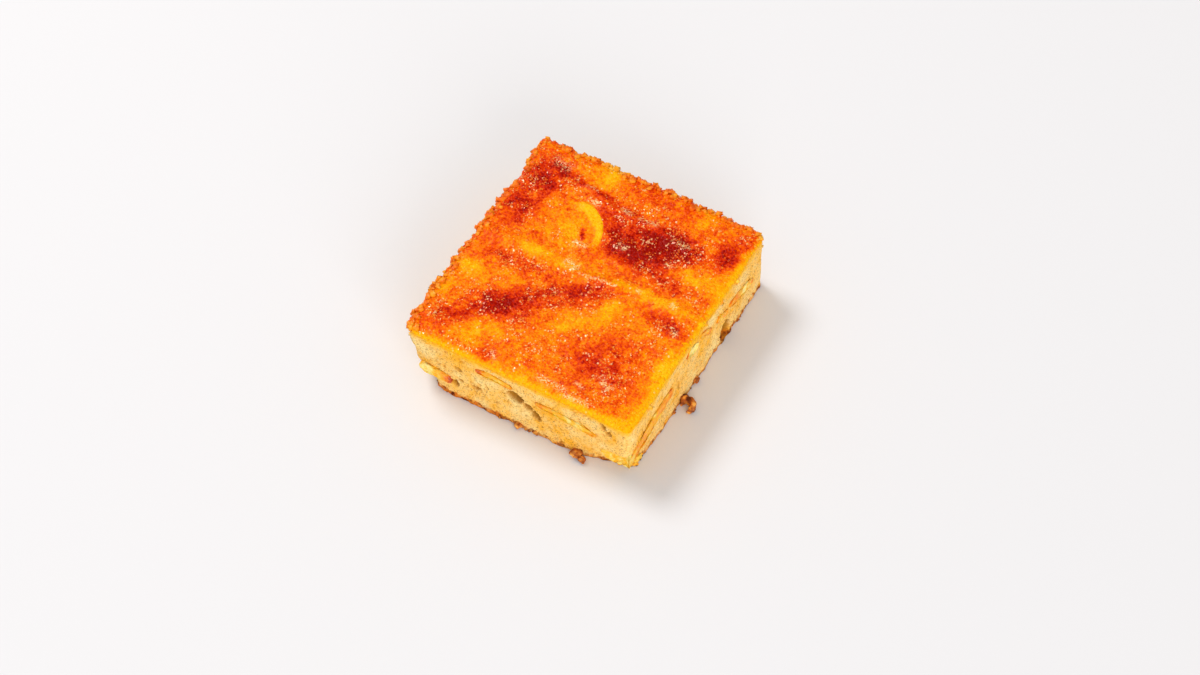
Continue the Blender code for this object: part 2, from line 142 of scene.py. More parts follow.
def corner_shift(points):
    """The move that shapes three corners: broken away below, crumbled at the foot, and tufted."""
    x, y, z = points.T
    away = np.hypot(x + HALF[0], y + HALF[1])
    broken = BREAK_WAIST * ease(23, 13, z) + BREAK_FOOT * ease(11, 2.5, z)
    broken = broken * np.exp(-((away / BREAK_REACH) ** 2)) * math.sqrt(0.5)
    away = np.hypot(x - HALF[0], y + HALF[1])
    crumbled = CRUMBLE_FOOT * ease(7.5, 1.5, z) * np.exp(-((away / CRUMBLE_REACH) ** 2))
    away = np.hypot(x + HALF[0], y - HALF[1])
    tuft = TUFT * ease(14, 22, z) * np.exp(-((away / TUFT_REACH) ** 2)) * math.sqrt(0.5)
    return np.stack([broken - tuft - 0.2 * crumbled, broken + tuft + crumbled, np.zeros(len(points))], 1)


def put(name, data):
    """A new object in the scene."""
    obj = bpy.data.objects.new(name, data)
    bpy.context.scene.collection.objects.link(obj)
    return obj


def skin(name, points, faces, material, values=None, flat_from=None):
    """A mesh object from points in millimetres on the slab, with a number for each point under each name."""
    mesh = bpy.data.meshes.new(name)
    mesh.from_pydata(((points + MIDDLE) / 1000).tolist(), [], faces)
    for title, numbers in (values or {}).items():
        layer = mesh.attributes.new(title, "FLOAT", "POINT")
        layer.data.foreach_set("value", np.clip(numbers, 0, 1).astype(np.float32))
    smooth = np.ones(len(faces), bool)
    if flat_from is not None:
        smooth[flat_from:] = False
    mesh.polygons.foreach_set("use_smooth", smooth)
    mesh.materials.append(material)
    mesh.update()
    return put(name, mesh)


def grid_faces(rows, columns, closed=False, first=0):
    """Quads between rows of points, each row as many points long; a closed row ends where it starts."""
    faces = []
    for row in range(rows - 1):
        for column in range(columns if closed else columns - 1):
            here = first + row * columns + column
            beside = first + row * columns + (column + 1) % columns
            faces.append((here, beside, beside + columns, here + columns))
    return faces


def ball(around, layers, first=0):
    """Points of a ball of radius 1, its poles last, and its faces, which count the points from first."""
    turn, tilt = np.meshgrid(
        np.linspace(0, 2 * math.pi, around, endpoint=False),
        np.linspace(-math.pi / 2, math.pi / 2, layers)[1:-1])
    unit = np.stack([np.cos(tilt) * np.cos(turn), np.cos(tilt) * np.sin(turn), np.sin(tilt)], -1)
    unit = unit.reshape(-1, 3)
    faces = grid_faces(layers - 2, around, closed=True, first=first)
    bottom = first + len(unit)
    last = bottom - around
    for column in range(around):
        beside = (column + 1) % around
        faces.append((first + beside, first + column, bottom))
        faces.append((last + column, last + beside, bottom + 1))
    return np.vstack([unit, (0, 0, -1), (0, 0, 1)]), faces


def add(tree, kind, inputs=None, stops=None, **settings):
    """Adds a node: its settings, its colour stops, and for each input a value, the socket it links to, or
    the node whose first output it links to."""
    made = tree.nodes.new(kind)
    for name, value in settings.items():
        setattr(made, name, value)
    for index, (place, code) in enumerate(stops or ()):
        ramp = made.color_ramp.elements
        stop = ramp[index] if index < 2 else ramp.new(place)
        stop.position = place
        stop.color = shade(code)
    for name, value in (inputs or {}).items():
        if isinstance(value, bpy.types.Node):
            value = value.outputs[0]
        if isinstance(value, bpy.types.NodeSocket):
            tree.links.new(value, made.inputs[name])
        else:
            made.inputs[name].default_value = value
    return made


def shade(code):
    """The linear colour of an sRGB hex value such as #ffaa00."""
    parts = [int(code[i:i + 2], 16) / 255 for i in (1, 3, 5)]
    return (*(c / 12.92 if c <= 0.04045 else ((c + 0.055) / 1.055) ** 2.4 for c in parts), 1)


def blank_material(name):
    """A material with an empty node tree, that tree, and the object's coordinates in it."""
    material = bpy.data.materials.new(name)
    material.use_nodes = True
    material.node_tree.nodes.clear()
    place = add(material.node_tree, "ShaderNodeTexCoord").outputs["Object"]
    return material, material.node_tree, place


# Baked orange flesh: wet, half translucent pulp, mottled by juice sacs about a millimetre wide
flesh, tree, place = blank_material("baked_orange_flesh")
ripe = add(tree, "ShaderNodeAttribute", attribute_name="ripe")
sacs = add(tree, "ShaderNodeTexNoise", {"Vector": place, "Scale": 900, "Detail": 3})
mottle = add(tree, "ShaderNodeMath", {0: sacs, 1: 0.5, 2: ripe.outputs["Fac"]}, operation="MULTIPLY_ADD")
shift = add(tree, "ShaderNodeMath", {0: mottle, 1: 0.25}, operation="SUBTRACT")
colour = add(tree, "ShaderNodeValToRGB", {"Fac": shift}, stops=(
    (0.0, "#ffe98a"), (1.0, "#b8420a"), (0.25, "#ffbe22"), (0.5, "#ff9c12"), (0.75, "#ec6a0a")))
bump = add(tree, "ShaderNodeBump", {"Height": sacs, "Strength": 0.5, "Distance": 0.0004})
surface = add(tree, "ShaderNodeBsdfPrincipled", {
    "Base Color": colour, "Roughness": 0.3, "Normal": bump, "Specular IOR Level": 0.3,
    "Subsurface Weight": 0.2, "Subsurface Radius": (1.0, 0.45, 0.12), "Subsurface Scale": 0.0015})
add(tree, "ShaderNodeOutputMaterial", {"Surface": surface})


def on_wall(name, along, inward, rise):
    """Points from how far they lie along, into and up a wall."""
    wall = WALLS[name]
    return (np.array(wall.origin) + np.outer(along, wall.along) + np.outer(inward, wall.inward)
            + np.outer(rise, (0, 0, 1)))


def from_spot(points, spot):
    """How far points lie along, into and up a wall, counted from a slice's or a hole's middle on it."""
    wall = WALLS[spot.wall]
    away = points - np.array(wall.origin)
    return away @ wall.along - spot.along, away @ wall.inward, away[:, 2] - spot.up


def in_slice(points, fruit):
    """Points in a slice's own measure: 1 at its ends, its depth and its faces."""
    run, depth, rise = from_spot(points, fruit)
    along, lift = turned(run, rise, -fruit.slope)
    lift = lift - fruit.bow * (1 - (along / (fruit.length / 2)) ** 2)
    depth = (depth - fruit.sunk) / fruit.depth
    return np.stack([along / (fruit.length / 2), depth, lift / (fruit.thick / 2)], 1)


def slice_mesh(fruit):
    """A slice's skin with the cut face pressed into the plane of the wall, and how ripe each point is."""
    unit, faces = ball(*FRUIT_FACETS)
    body = np.sign(unit) * np.abs(unit) ** FRUIT_BLUNT * (fruit.length / 2, fruit.depth, fruit.thick / 2)
    body[:, 2] *= 1 + 0.35 * ripple(body, 3.5, fruit.along) + 0.25 * ripple(body, 1.5, fruit.along)
    body[:, 2] += fruit.bow * (1 - (body[:, 0] / (fruit.length / 2)) ** 2)
    along, rise = turned(body[:, 0], body[:, 2], fruit.slope)
    points = on_wall(fruit.wall, along + fruit.along, body[:, 1] + fruit.sunk, rise + fruit.up)
    # The slice is ragged where the foot of the front right corner crumbled
    away = np.hypot(points[:, 0] - HALF[0], points[:, 1] + HALF[1])
    ragged = 3.0 * ease(12, 4, away)
    uneven = (0.25 * ripple(points, 1.8) + 0.14 * ripple(points, 0.7)) * (1 + ragged) - 0.2 * ragged
    points[:, 2] += 0.5 * ragged * ripple(points, 2.0, 15)
    for cut in WALLS.values():
        facing = np.repeat(-np.array([cut.inward], float), len(points), 0)
        out = (points - np.array(cut.origin)) @ facing[0]
        limit = wander(points, facing[:, :2]) + FRUIT_PROUD + uneven
        points -= facing * np.clip(out - limit, 0, None)[:, None]
    tone = np.interp(in_slice(points, fruit)[:, 0], (-1, -0.33, 0.33, 1), fruit.ripe)
    tone = tone + 0.3 * ripple(points, 2.4, 7) + 0.12 * ripple(points, 0.9)
    return points, faces, tone


for fruit in FRUITS:
    points, faces, tone = slice_mesh(fruit)
    piece = skin("orange_in_crumb_" + fruit.name, points, faces, flesh, {"ripe": tone})
    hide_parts("orange_slice_" + fruit.name)
    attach(piece, "root")


# The sponge crumb
# One block of baked batter, open-textured and moist. The front and right walls were cut with a knife, so
# their pores are sliced open; the back and left ones were torn. A thin skin of crust browned on the tin.
CRUMB_TOP = 26.2
FACET = 0.35
ROUND, FRONT_LEFT_ROUND = 2.6, 4.5
FINE_PORE, COARSE_PORE = 1.3, 2.6

# An air hole: its middle along and up a wall, its width, height, depth and turn in degrees
Hole = namedtuple("Hole", "wall along up width height depth turn")
HOLES = [
    Hole("front", -0.8, 16.4, 7.2, 5.6, 3.2, -20),
    Hole("front", 4.4, 13.6, 4.8, 3.8, 2.6, -50),
    Hole("front", 7.6, 10.4, 3.6, 5.4, 2.8, 30),
    Hole("front", 35.4, 23.2, 2.2, 4.2, 2.4, 20),
    Hole("front", 37.6, 20.6, 2.8, 2.4, 2.2, 10),
    Hole("front", -24.4, 17.6, 3.4, 2.2, 1.8, -15),
    Hole("front", -23.4, 11.6, 2.4, 1.8, 1.5, 0),
    Hole("front", -16.8, 11.0, 4.2, 2.4, 1.7, 12),
    Hole("front", -25.6, 8.4, 3.2, 3.0, 3.0, 0),
    Hole("right", 21.2, 4.4, 7.4, 10.4, 3.4, 0),
    Hole("right", -13.5, 12.0, 1.8, 4.6, 1.8, 10),
]
HIDDEN_HOLES_PER_WALL = 7

draw = random.Random(7)
for wall, reach in (("back", 40), ("left", 44)):
    for index in range(HIDDEN_HOLES_PER_WALL):
        along = reach * (2 * (index + 0.5) / HIDDEN_HOLES_PER_WALL - 1) + draw.uniform(-3, 3)
        up = draw.choice((6, 9, 22)) + draw.uniform(-1.2, 1.2)
        width = draw.uniform(2.2, 4.6)
        height = width * draw.uniform(0.5, 0.8)
        HOLES.append(Hole(wall, along, up, width, height, draw.uniform(2.4, 3.2), draw.uniform(-40, 40)))


def outline(spacing):
    """Points anticlockwise round the slab from its front right corner, and where each faces."""
    corners = ((1, -1, ROUND), (1, 1, ROUND), (-1, 1, ROUND), (-1, -1, FRONT_LEFT_ROUND))
    centres = [np.array([x, y]) * (HALF - radius) for x, y, radius in corners]
    places, facings = [], []
    for quarter, (_, _, radius) in enumerate(corners):
        count = max(4, round(radius * math.pi / 2 / spacing))
        turns = (quarter - 1 + np.arange(count) / count) * math.pi / 2
        facing = np.stack([np.cos(turns), np.sin(turns)], 1)
        places.append(centres[quarter] + radius * facing)
        facings.append(facing)
        ahead = np.array([math.cos(quarter * math.pi / 2), math.sin(quarter * math.pi / 2)])
        start = centres[quarter] + radius * ahead
        end = centres[(quarter + 1) % 4] + corners[(quarter + 1) % 4][2] * ahead
        count = round(np.linalg.norm(end - start) / spacing)
        places.append(start + np.outer(np.arange(count) / count, end - start))
        facings.append(np.repeat([ahead], count, 0))
    return np.vstack(places), np.vstack(facings)


def pores(points, size, share):
    """How deep in an air pore each point lies, from 0 to 1. Pores take up that share of the crumb."""
    near = np.array([noise.voronoi(p)[0][0] for p in (points / size).tolist()])
    return ease(0.45, 0.1, near) * ease(-0.2, 0.3, ripple(points, size * 3.1, 11) + share - 0.5)


def hole_depth(points, facing):
    """How deep each point lies in one of the large air holes, in millimetres."""
    depth = np.zeros(len(points))
    rough = 0.3 * ripple(points, 1.4, 2) + 0.15 * ripple(points, 0.7)
    for hole in HOLES:
        run, _, rise = from_spot(points, hole)
        across, upward = turned(run, rise, -hole.turn)
        across, upward = across / (hole.width / 2), upward / (hole.height / 2)
        facing_out = -(facing @ np.array(WALLS[hole.wall].inward[:2])) > 0.7
        inside = np.clip(1.05 - (across**2 + upward**2) - rough, 0, 1) ** 0.5
        depth = np.maximum(depth, inside * hole.depth * facing_out)
    return depth


def nearness(points):
    """How near each point is to a slice of orange: 1 on it, under 0.5 a millimetre away, then 0."""
    nearest = np.zeros(len(points))
    for fruit in FRUITS:
        measure = np.sum(np.abs(in_slice(points, fruit)) ** 2.5, 1) ** 0.4
        gap = (measure - 1) * fruit.thick / 2
        nearest = np.maximum(nearest, np.where(gap < 0, 1.0, np.exp(-gap / 1.1) * 0.98))
    return nearest


ring, ring_facing = outline(FACET)
levels = np.linspace(0, CRUMB_TOP, round(CRUMB_TOP / FACET) + 1)
count = len(ring)
base = np.column_stack([np.tile(ring, (len(levels), 1)), np.repeat(levels, count)])
facing = np.tile(ring_facing, (len(levels), 1))
flat_z = base[:, 2]

close = nearness(base)
groove = ease(0.55, 0.9, close)
holes = hole_depth(base, facing)
fine = pores(base * (1, 1, 1.25), FINE_PORE, 0.55)
coarse = pores(base * (1, 1, 1.35), COARSE_PORE, 0.3)
in_fruit = close > 0.99
cut_open = 0.65 * fine + 1.1 * coarse + 1.15 * holes + 0.12 * groove + 0.9 * in_fruit
crumb_grain = 0.12 * ripple(base, 0.8) + 0.1 * ripple(base, 1.7)
held = ease(0, 0.6, flat_z) * ease(CRUMB_TOP, CRUMB_TOP - 0.5, flat_z)
out = wander(base, facing) + (crumb_grain - cut_open) * held
walls = base + corner_shift(base)
walls[:, :2] += facing * out[:, None]

# Where the crumb is browned and soaked, where painted shade goes into its pores and air holes, and where
# loose bits lie, each from 0 to 1
browner = ease(-42, -36, base[:, 0]) * ease(0, -8, base[:, 0])
crust_edge = 1.2 + 0.6 * browner + 1.3 * ripple(base, 3.1, 4) + 0.8 * ripple(base, 0.9)
crust_tone = ease(0.7, -0.5, flat_z - crust_edge) * (0.7 + 0.3 * browner + 0.5 * ripple(base, 1.4, 13))
soaked_edge = 25.0 + 1.5 * ripple(base, 5.0, 9) + 0.9 * ripple(base, 1.3)
crumb_values = {
    "crust": crust_tone,
    "soaked": ease(-1.2, 1.0, flat_z - soaked_edge),
    "stain": np.clip(close * 0.9 + 0.25 * ripple(base, 7.0, 6), 0, 1) * (close > 0.05),
    # Painted shade in the pores and air holes, where the crumb's recesses lie in shade
    "painted_hollow_shade": 0.45 * fine + 0.55 * coarse + 0.9 * ease(0.1, 0.8, holes),
    # Darker painted shade deep inside the large air holes, under their upper lips
    "deep": ease(0.9, 2.2, holes),
    "loose_pulp": ease(9, 5, np.hypot(base[:, 0] - HALF[0], base[:, 1] + HALF[1])) * ease(9, 7, flat_z),
    "loose_crust": ease(2.0, 1.0, flat_z) * ease(-0.1, 0.4, ripple(base, 5.0, 12)),
    "torn_rim": np.clip(np.maximum(-facing[:, 0], facing[:, 1]), 0, 1) * ease(18, 26, flat_z),
}

# Moist yellow sponge with a brown bottom crust: the syrup soaked in at the top and round the fruit. Its pores
# and air holes are coloured darker as painted shade, darkest deep in the holes. Its finest pores are drawn as
# dark specks half a millimetre wide, coarser than they are, so that they show.
crumb, tree, place = blank_material("moist_sponge_crumb")
tones = {name: add(tree, "ShaderNodeAttribute", attribute_name=name).outputs["Fac"]
         for name in ("stain", "painted_hollow_shade", "soaked", "deep", "crust")}
clouds = add(tree, "ShaderNodeTexNoise", {"Vector": place, "Scale": 110, "Detail": 7, "Roughness": 0.7})
specks = add(tree, "ShaderNodeTexNoise", {"Vector": place, "Scale": 1500, "Detail": 4})
plain = add(tree, "ShaderNodeValToRGB", {"Fac": clouds}, stops=((0.36, "#ffdc90"), (0.64, "#ffb630")))
# Dark specks over the crumb: painted shade in its finest pores
painted_pore_specks = add(tree, "ShaderNodeValToRGB", {"Fac": specks}, stops=((0.37, "#7c5014"), (0.46, "#ffffff")))
colour = add(tree, "ShaderNodeMix", {0: 0.55, 6: plain, 7: painted_pore_specks},
             data_type="RGBA", blend_type="MULTIPLY").outputs[2]
# The hollow and deep mixes are painted shade in the pores and holes; stain, soaked and crust are the crumb's
# own colours
for name, code, amount in (("stain", "#ffb42a", 0.55), ("painted_hollow_shade", "#ba7804", 0.85),
                           ("soaked", "#ffba1c", 0.85), ("deep", "#96640a", 0.65),
                           ("crust", "#d87010", 0.95)):
    share = add(tree, "ShaderNodeMath", {0: tones[name], 1: amount}, operation="MULTIPLY")
    colour = add(tree, "ShaderNodeMix", {0: share, 6: colour, 7: shade(code)}, data_type="RGBA").outputs[2]
scorch = add(tree, "ShaderNodeTexNoise", {"Vector": place, "Scale": 520, "Detail": 3})
spots = add(tree, "ShaderNodeMapRange", {"Value": scorch, "From Min": 0.44, "From Max": 0.6})
burnt = add(tree, "ShaderNodeMath", {0: spots, 1: tones["crust"]}, operation="MULTIPLY")
colour = add(tree, "ShaderNodeMix", {0: burnt, 6: colour, 7: shade("#6a2404")}, data_type="RGBA").outputs[2]
bump = add(tree, "ShaderNodeBump", {"Height": specks, "Strength": 0.9, "Distance": 0.0004})
surface = add(tree, "ShaderNodeBsdfPrincipled", {
    "Base Color": colour, "Roughness": 0.82, "Normal": bump, "Specular IOR Level": 0.25,
    "Subsurface Weight": 0.15, "Subsurface Radius": (1.0, 0.6, 0.3), "Subsurface Scale": 0.0015})
add(tree, "ShaderNodeOutputMaterial", {"Surface": surface})

faces = grid_faces(len(levels), count, closed=True)
caps = [tuple(range(count))[::-1], tuple(range((len(levels) - 1) * count, len(levels) * count))]
sponge = skin("sponge_block", walls, faces + caps, crumb, crumb_values, flat_from=len(faces))
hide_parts("sponge")
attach(sponge, "root")


# Flakes and crumbs at the foot
# Scraps of the browned bottom crust that broke off with the cut and still cling to the slice: a curled
# flake at the right wall and a few crumbs round the rest.
CURL_ALONG, CURL_OUT, CURL_RADIUS = -13.2, 3.4, 2.1
CURL_THICK, CURL_TALL = 2.0, 4.4
CURL_ARC = (-165, 110)
CURL_FACETS = 36, 70
LUMP_FACETS = 30, 20
Flake = namedtuple("Flake", "wall along out up long wide tall turn")
FLAKES = [
    Flake("right", -1.6, 0.5, 1.5, 3.2, 2.6, 2.2, 15),
    Flake("right", -11.2, 0.9, 1.4, 4.2, 3.4, 2.6, -20),
    Flake("front", 25.2, 1.0, 1.6, 4.6, 4.4, 2.6, -25),
    Flake("front", 28.2, 2.2, 1.2, 3.2, 2.8, 2.2, -40),
    Flake("front", 0.7, 0.8, 1.3, 3.0, 2.6, 2.2, 10),
    Flake("back", 14.0, 0.8, 1.5, 4.0, 2.8, 2.6, 15),
    Flake("left", -30.0, 0.8, 1.4, 3.6, 2.6, 2.6, -30),
]


def curl_mesh():
    """The curled flake: a strip stood on edge and bent round, thin at its torn ends."""
    around, steps = CURL_FACETS
    share = np.linspace(0, 1, steps)
    turn = np.radians(CURL_ARC[0] + share * (CURL_ARC[1] - CURL_ARC[0]))
    radius = CURL_RADIUS * (1 + 0.15 * np.sin(share * 9))
    taper = np.clip(1 - np.abs(2 * share - 1) ** 5, 0.02, 1)
    outward = np.stack([np.cos(turn), -np.sin(turn)], 1)
    tall = CURL_TALL * (1 - 0.35 * np.abs(share - 0.4)) * taper
    section = np.linspace(0, 2 * math.pi, around, endpoint=False)
    wide, high = [np.sign(f) * np.abs(f) ** 0.7 for f in (np.cos(section), np.sin(section))]
    reach = radius[:, None] + wide * (CURL_THICK * 0.5 * taper)[:, None]
    across = outward[:, None] * reach[..., None]
    rise = (high + 1) * tall[:, None] / 2
    points = np.stack([across[..., 1] + HALF[0] + CURL_OUT, across[..., 0] + CURL_ALONG, rise], -1)
    points = points.reshape(-1, 3)
    points[:, 0] += 0.35 * ripple(points, 1.2) + 0.2 * ripple(points, 0.5)
    points[:, 1] += 0.6 * ripple(points, 1.1, 8)
    points[:, 2] = np.maximum(points[:, 2] + 0.3 * ripple(points, 1.3, 5), 0.1)
    ends = [tuple(range(around))[::-1], tuple(range(len(points) - around, len(points)))]
    return points, grid_faces(steps, around, closed=True) + ends


def lump_mesh(flake, first):
    """A crumb: a ball pressed to its three sizes and roughened."""
    unit, faces = ball(*LUMP_FACETS, first)
    body = unit * (flake.long / 2, flake.wide / 2, flake.tall / 2)
    body *= 1 + 0.35 * ripple(body, 1.3, flake.along)[:, None] + 0.2 * ripple(body, 0.6)[:, None]
    along, inward = turned(body[:, 0], body[:, 1], flake.turn)
    points = on_wall(flake.wall, along + flake.along, inward - flake.out, body[:, 2] + flake.up)
    points[:, 2] = np.maximum(points[:, 2], 0.1)
    return points, faces


# Baked crust: dry, brown and rough, darker in its hollows
crust, tree, place = blank_material("browned_crust")
scorch = add(tree, "ShaderNodeTexNoise", {"Vector": place, "Scale": 420, "Detail": 4})
colour = add(tree, "ShaderNodeValToRGB", {"Fac": scorch}, stops=(
    (0.32, "#5c1e04"), (0.68, "#ffb24a"), (0.5, "#b8601a")))
bump = add(tree, "ShaderNodeBump", {"Height": scorch, "Strength": 0.8, "Distance": 0.0004})
surface = add(tree, "ShaderNodeBsdfPrincipled", {
    "Base Color": colour, "Roughness": 0.6, "Normal": bump,
    "Subsurface Weight": 0.15, "Subsurface Radius": (1.0, 0.5, 0.2), "Subsurface Scale": 0.001})
add(tree, "ShaderNodeOutputMaterial", {"Surface": surface})

points, faces = curl_mesh()
for flake in FLAKES:
    lump, lump_faces = lump_mesh(flake, len(points))
    points, faces = np.vstack([points, lump]), faces + lump_faces
scraps = skin("crust_scraps", points, faces, crust)
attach(scraps, "root")


# The caramelised top
# Orange and syrup that baked against the lined tin and set on top when the cake was turned out: sticky,
# glossy, grainy with sugar, scorched in patches, and creased where the lining paper was folded.
TOPPING_FOOT = 25.9
TOP_FACET = 0.4
TOP_DROP = 0.45
SWELLS = ((17.0, 0.45), (5.5, 0.3))
SHOULDER_DROP, SHOULDER_WIDTH = 0.8, 4.5
CORNER_DROP, CORNER_REACH = 0.8, 24.0
SIDE_RINGS = 8
POCKET = 1.6
MAP_SHIFT = np.array([0.65, -0.25])

# Folds of the lining paper: two ends, half width and height
FOLDS = (
    (-45, 2.5, -6, 2.0, 3.4, 0.55), (-8, 1.2, 14, 3.4, 1.6, 0.85), (10, 4.2, 46, 4.4, 3.0, 0.6),
    (-24, 38.2, -11, 35.2, 1.3, 0.55), (-21, 33.4, 12, 33.6, 1.4, 0.6), (8, 33.4, 29, 29.6, 1.4, 0.55),
    (-8, 21.6, 24, 19.4, 1.6, 0.5), (-26, 29.4, -8, 31.2, 1.2, 0.4), (-14, 12.6, 12, 13.0, 1.8, 0.35),
)

# Patches of colour: middle, half length, half width, turn in degrees, and how much darker they are.
# Their places count from the middle of the browned area.
SCORCHED = (
    (-37, 33, 7, 6, 0, 0.42), (-31, 40, 8, 2.6, -6, 0.38), (-15, 37.5, 12, 1.6, -7, 0.3),
    (-36, 42.5, 6, 2.6, 0, 0.2), (-42, 40, 3, 5, 0, 0.12), (-40, 19.5, 7, 3.5, 0, 0.3),
    (-40, 12, 6, 5, 0, 0.14), (-7, 28, 8, 3, -40, 0.24), (15, 29, 8, 7.5, 0, 0.4), (9, 20, 11, 3, 0, 0.42),
    (23, 29, 9, 6, 0, 0.36), (6, 26, 7, 5, 0, 0.2), (5, 15.5, 8, 3, 0, 0.3), (-1, 21, 3, 6, 12, 0.26),
    (19, 14.5, 11, 3, 4, 0.24), (28, 12, 6, 2, -8, 0.15), (38.5, 35, 4.5, 6.5, 10, 0.54),
    (41, 12.5, 3, 2.5, 0, 0.16), (14, 46, 14, 5, 0, 0.1), (2, -4, 10, 4.4, 28, 0.34),
    (-4, -10, 9, 5, 30, 0.24), (-16, -17.5, 7, 5, 38, 0.36), (-25, -25, 8, 5.2, 38, 0.48),
    (12, 25, 19, 11, -8, 0.2), (-39, 26, 8, 15, 0, 0.14), (-6, 33, 16, 4, -12, 0.12),
    (25, -31, 16, 9, -8, 0.1), (-36, -4, 10, 7, 0, 0.06), (-18, -25, 8, 5, 10, 0.22),
    (-31, -32, 5, 3, 40, 0.2), (-38, -38, 7, 5, 20, 0.24), (-34, -4, 7, 3, 0, 0.16),
    (-20, -5, 10, 4, 0, 0.12), (20, -31, 11, 6, -8, 0.2), (31, -32, 6, 5, -30, 0.12),
    (40, -43, 4.5, 7, 0, 0.28), (33, -2.5, 8, 2.8, -8, 0.3), (38, -5, 3, 3, 0, 0.16),
    (42, 44, 3, 5, 0, 0.18), (-15.5, -45, 3.5, 3, 0, 0.18), (26, -20, 10, 6, 0, 0.1),
    (-2, 47, 7, 4, 0, 0.1), (16, -42, 12, 4, 0, 0.08),
)
PALE = (
    (-17, 46, 4.5, 6.5, 0, 0.34), (-25, 47, 4, 3, 0, 0.1), (43.5, -20, 3.5, 9, 0, 0.4),
    (43, 22, 3, 10, 0, 0.22), (33, 20.5, 8, 4.5, 0, 0.26), (-25, 3, 7, 2.8, 0, 0.34),
    (-12, 4, 8, 2.5, 0, 0.2), (14, 5, 14, 2.2, 0, 0.18), (33, 5, 11, 2.4, 0, 0.22),
    (13, -10, 3.6, 8, -8, 0.28), (4, -19, 4, 8, -35, 0.2), (-26, -41, 6, 5, 0, 0.22),
    (-20, -35, 6, 2.5, -10, 0.15), (-41, -14, 5, 3.5, 0, 0.24), (-45, -27, 3, 7, 0, 0.2),
    (-18, 19, 9, 9, 20, 0.2), (24, 46, 3.5, 6, 0, 0.2), (6, -47, 16, 3, 0, 0.12),
    (-33, -14, 12, 3, 20, 0.1), (29, -9, 8, 3, 0, 0.08),
)

# Streaks of painted glints: whitish flecks painted along the folds where light catches the wet caramel, and
# where sugar grains gather thicker: two ends, half width and strength
PAINTED_GLINT_STREAKS = (
    (-22.5, 38.4, -17.5, 38.2, 0.6, 0.5), (-18.5, 33.4, -13.5, 32.7, 0.9, 0.9),
    (-6, 35.6, -1, 34.6, 1.0, 0.7), (2, 34.9, 10, 34.8, 0.8, 0.7), (17.5, 31.6, 25, 31.8, 0.9, 0.8),
    (20.5, 21.8, 23.2, 20.5, 0.9, 0.7), (1, 20.4, 5, 19.4, 0.8, 0.6), (-14, 13.6, -8, 13.4, 1.1, 0.8),
    (-12, 5, -6, 3.5, 1.4, 0.8), (-5, 1.6, 2, 2.2, 0.4, 0.7), (2, 2.2, 10, 2.7, 0.45, 0.9),
    (5, -45.2, 17, -45.8, 1.1, 0.8), (17, -47.6, 27, -47, 0.8, 0.7), (26, -36, 30.5, -37, 1.1, 0.8),
    (36.5, -2.5, 39.5, -6.2, 1.0, 0.8), (31, 6, 34, 4.8, 1.2, 0.8), (16.5, 5.6, 19.5, 4.8, 0.8, 0.6),
    (-39, 43.5, -31, 42.5, 1.6, 0.4), (-14.5, -43, -12, -46.5, 0.9, 0.6), (18, -41, 23, -41.5, 0.7, 0.5),
    (23, -35, 27, -33.8, 0.8, 0.4),
)


def along_line(x, y, x0, y0, x1, y1, width):
    """1 on the line between two points, falling off to the sides over that width and at the ends."""
    run = np.array([x1 - x0, y1 - y0])
    long = np.hypot(*run)
    share = ((x - x0) * run[0] + (y - y0) * run[1]) / long**2
    across = ((x - x0) * run[1] - (y - y0) * run[0]) / long
    return ease(-0.12, 0.12, share) * ease(1.12, 0.88, share) * np.exp(-((across / width) ** 2))


def top_height(x, y):
    """Height of the caramelised surface: its folds and swells, its soft shoulder and its low corner."""
    flat = np.stack([x, y, np.zeros_like(x)], 1)
    rise = sum(height * along_line(x, y, x0, y0, x1, y1, width) for x0, y0, x1, y1, width, height in FOLDS)
    rise = rise + sum(height * ripple(flat, length) for length, height in SWELLS)
    margin = np.minimum(HALF[0] - np.abs(x), HALF[1] - np.abs(y))
    rise = rise - SHOULDER_DROP * ease(SHOULDER_WIDTH, 0, margin) ** 1.6
    low = np.hypot(x - HALF[0], y + HALF[1]) / CORNER_REACH
    return HEIGHT + rise - TOP_DROP - CORNER_DROP * np.exp(-(low**2))


def patch(x, y, middle_x, middle_y, long, wide, turn):
    """1 in the middle of an oval patch, fading out past its edge."""
    along, across = turned(x - middle_x, y - middle_y, -turn)
    along, across = along / long, across / wide
    return np.exp(-((along**2 + across**2) ** 1.3))


def browning(x, y):
    """How dark the caramel is, from 0, bare yellow fruit, to 1, scorched."""
    flat = np.stack([x, y, np.zeros_like(x)], 1)
    spot_x = x - MAP_SHIFT[0] + 1.1 * ripple(flat, 4.5, 20) + 0.5 * ripple(flat, 1.6, 21)
    spot_y = y - MAP_SHIFT[1] + 1.1 * ripple(flat, 4.5, 30) + 0.5 * ripple(flat, 1.6, 31)
    tone = 0.49 + sum(s * patch(spot_x, spot_y, *spot) for *spot, s in SCORCHED)
    tone = tone - sum(s * patch(spot_x, spot_y, *spot) for *spot, s in PALE)
    margin = np.minimum(HALF[0] - np.abs(x), HALF[1] - np.abs(y))
    cut_margin = np.minimum(HALF[0] - x, HALF[1] + y)
    uneven = cut_margin + 1.4 * ripple(flat, 5.0, 33) + 0.6 * ripple(flat, 1.8, 34)
    tone = tone - 0.28 * ease(2.9, 0.0, uneven) + 0.05 * ease(3.0, 0.0, margin) * (cut_margin > 3.0)
    tone = np.where(tone > 0.68, 0.68 + 0.7 * (tone - 0.68), tone)
    return tone + 0.16 * ripple(flat, 3.0, 40) + 0.13 * ripple(flat, 1.3, 41) + 0.08 * ripple(flat, 0.7, 42)


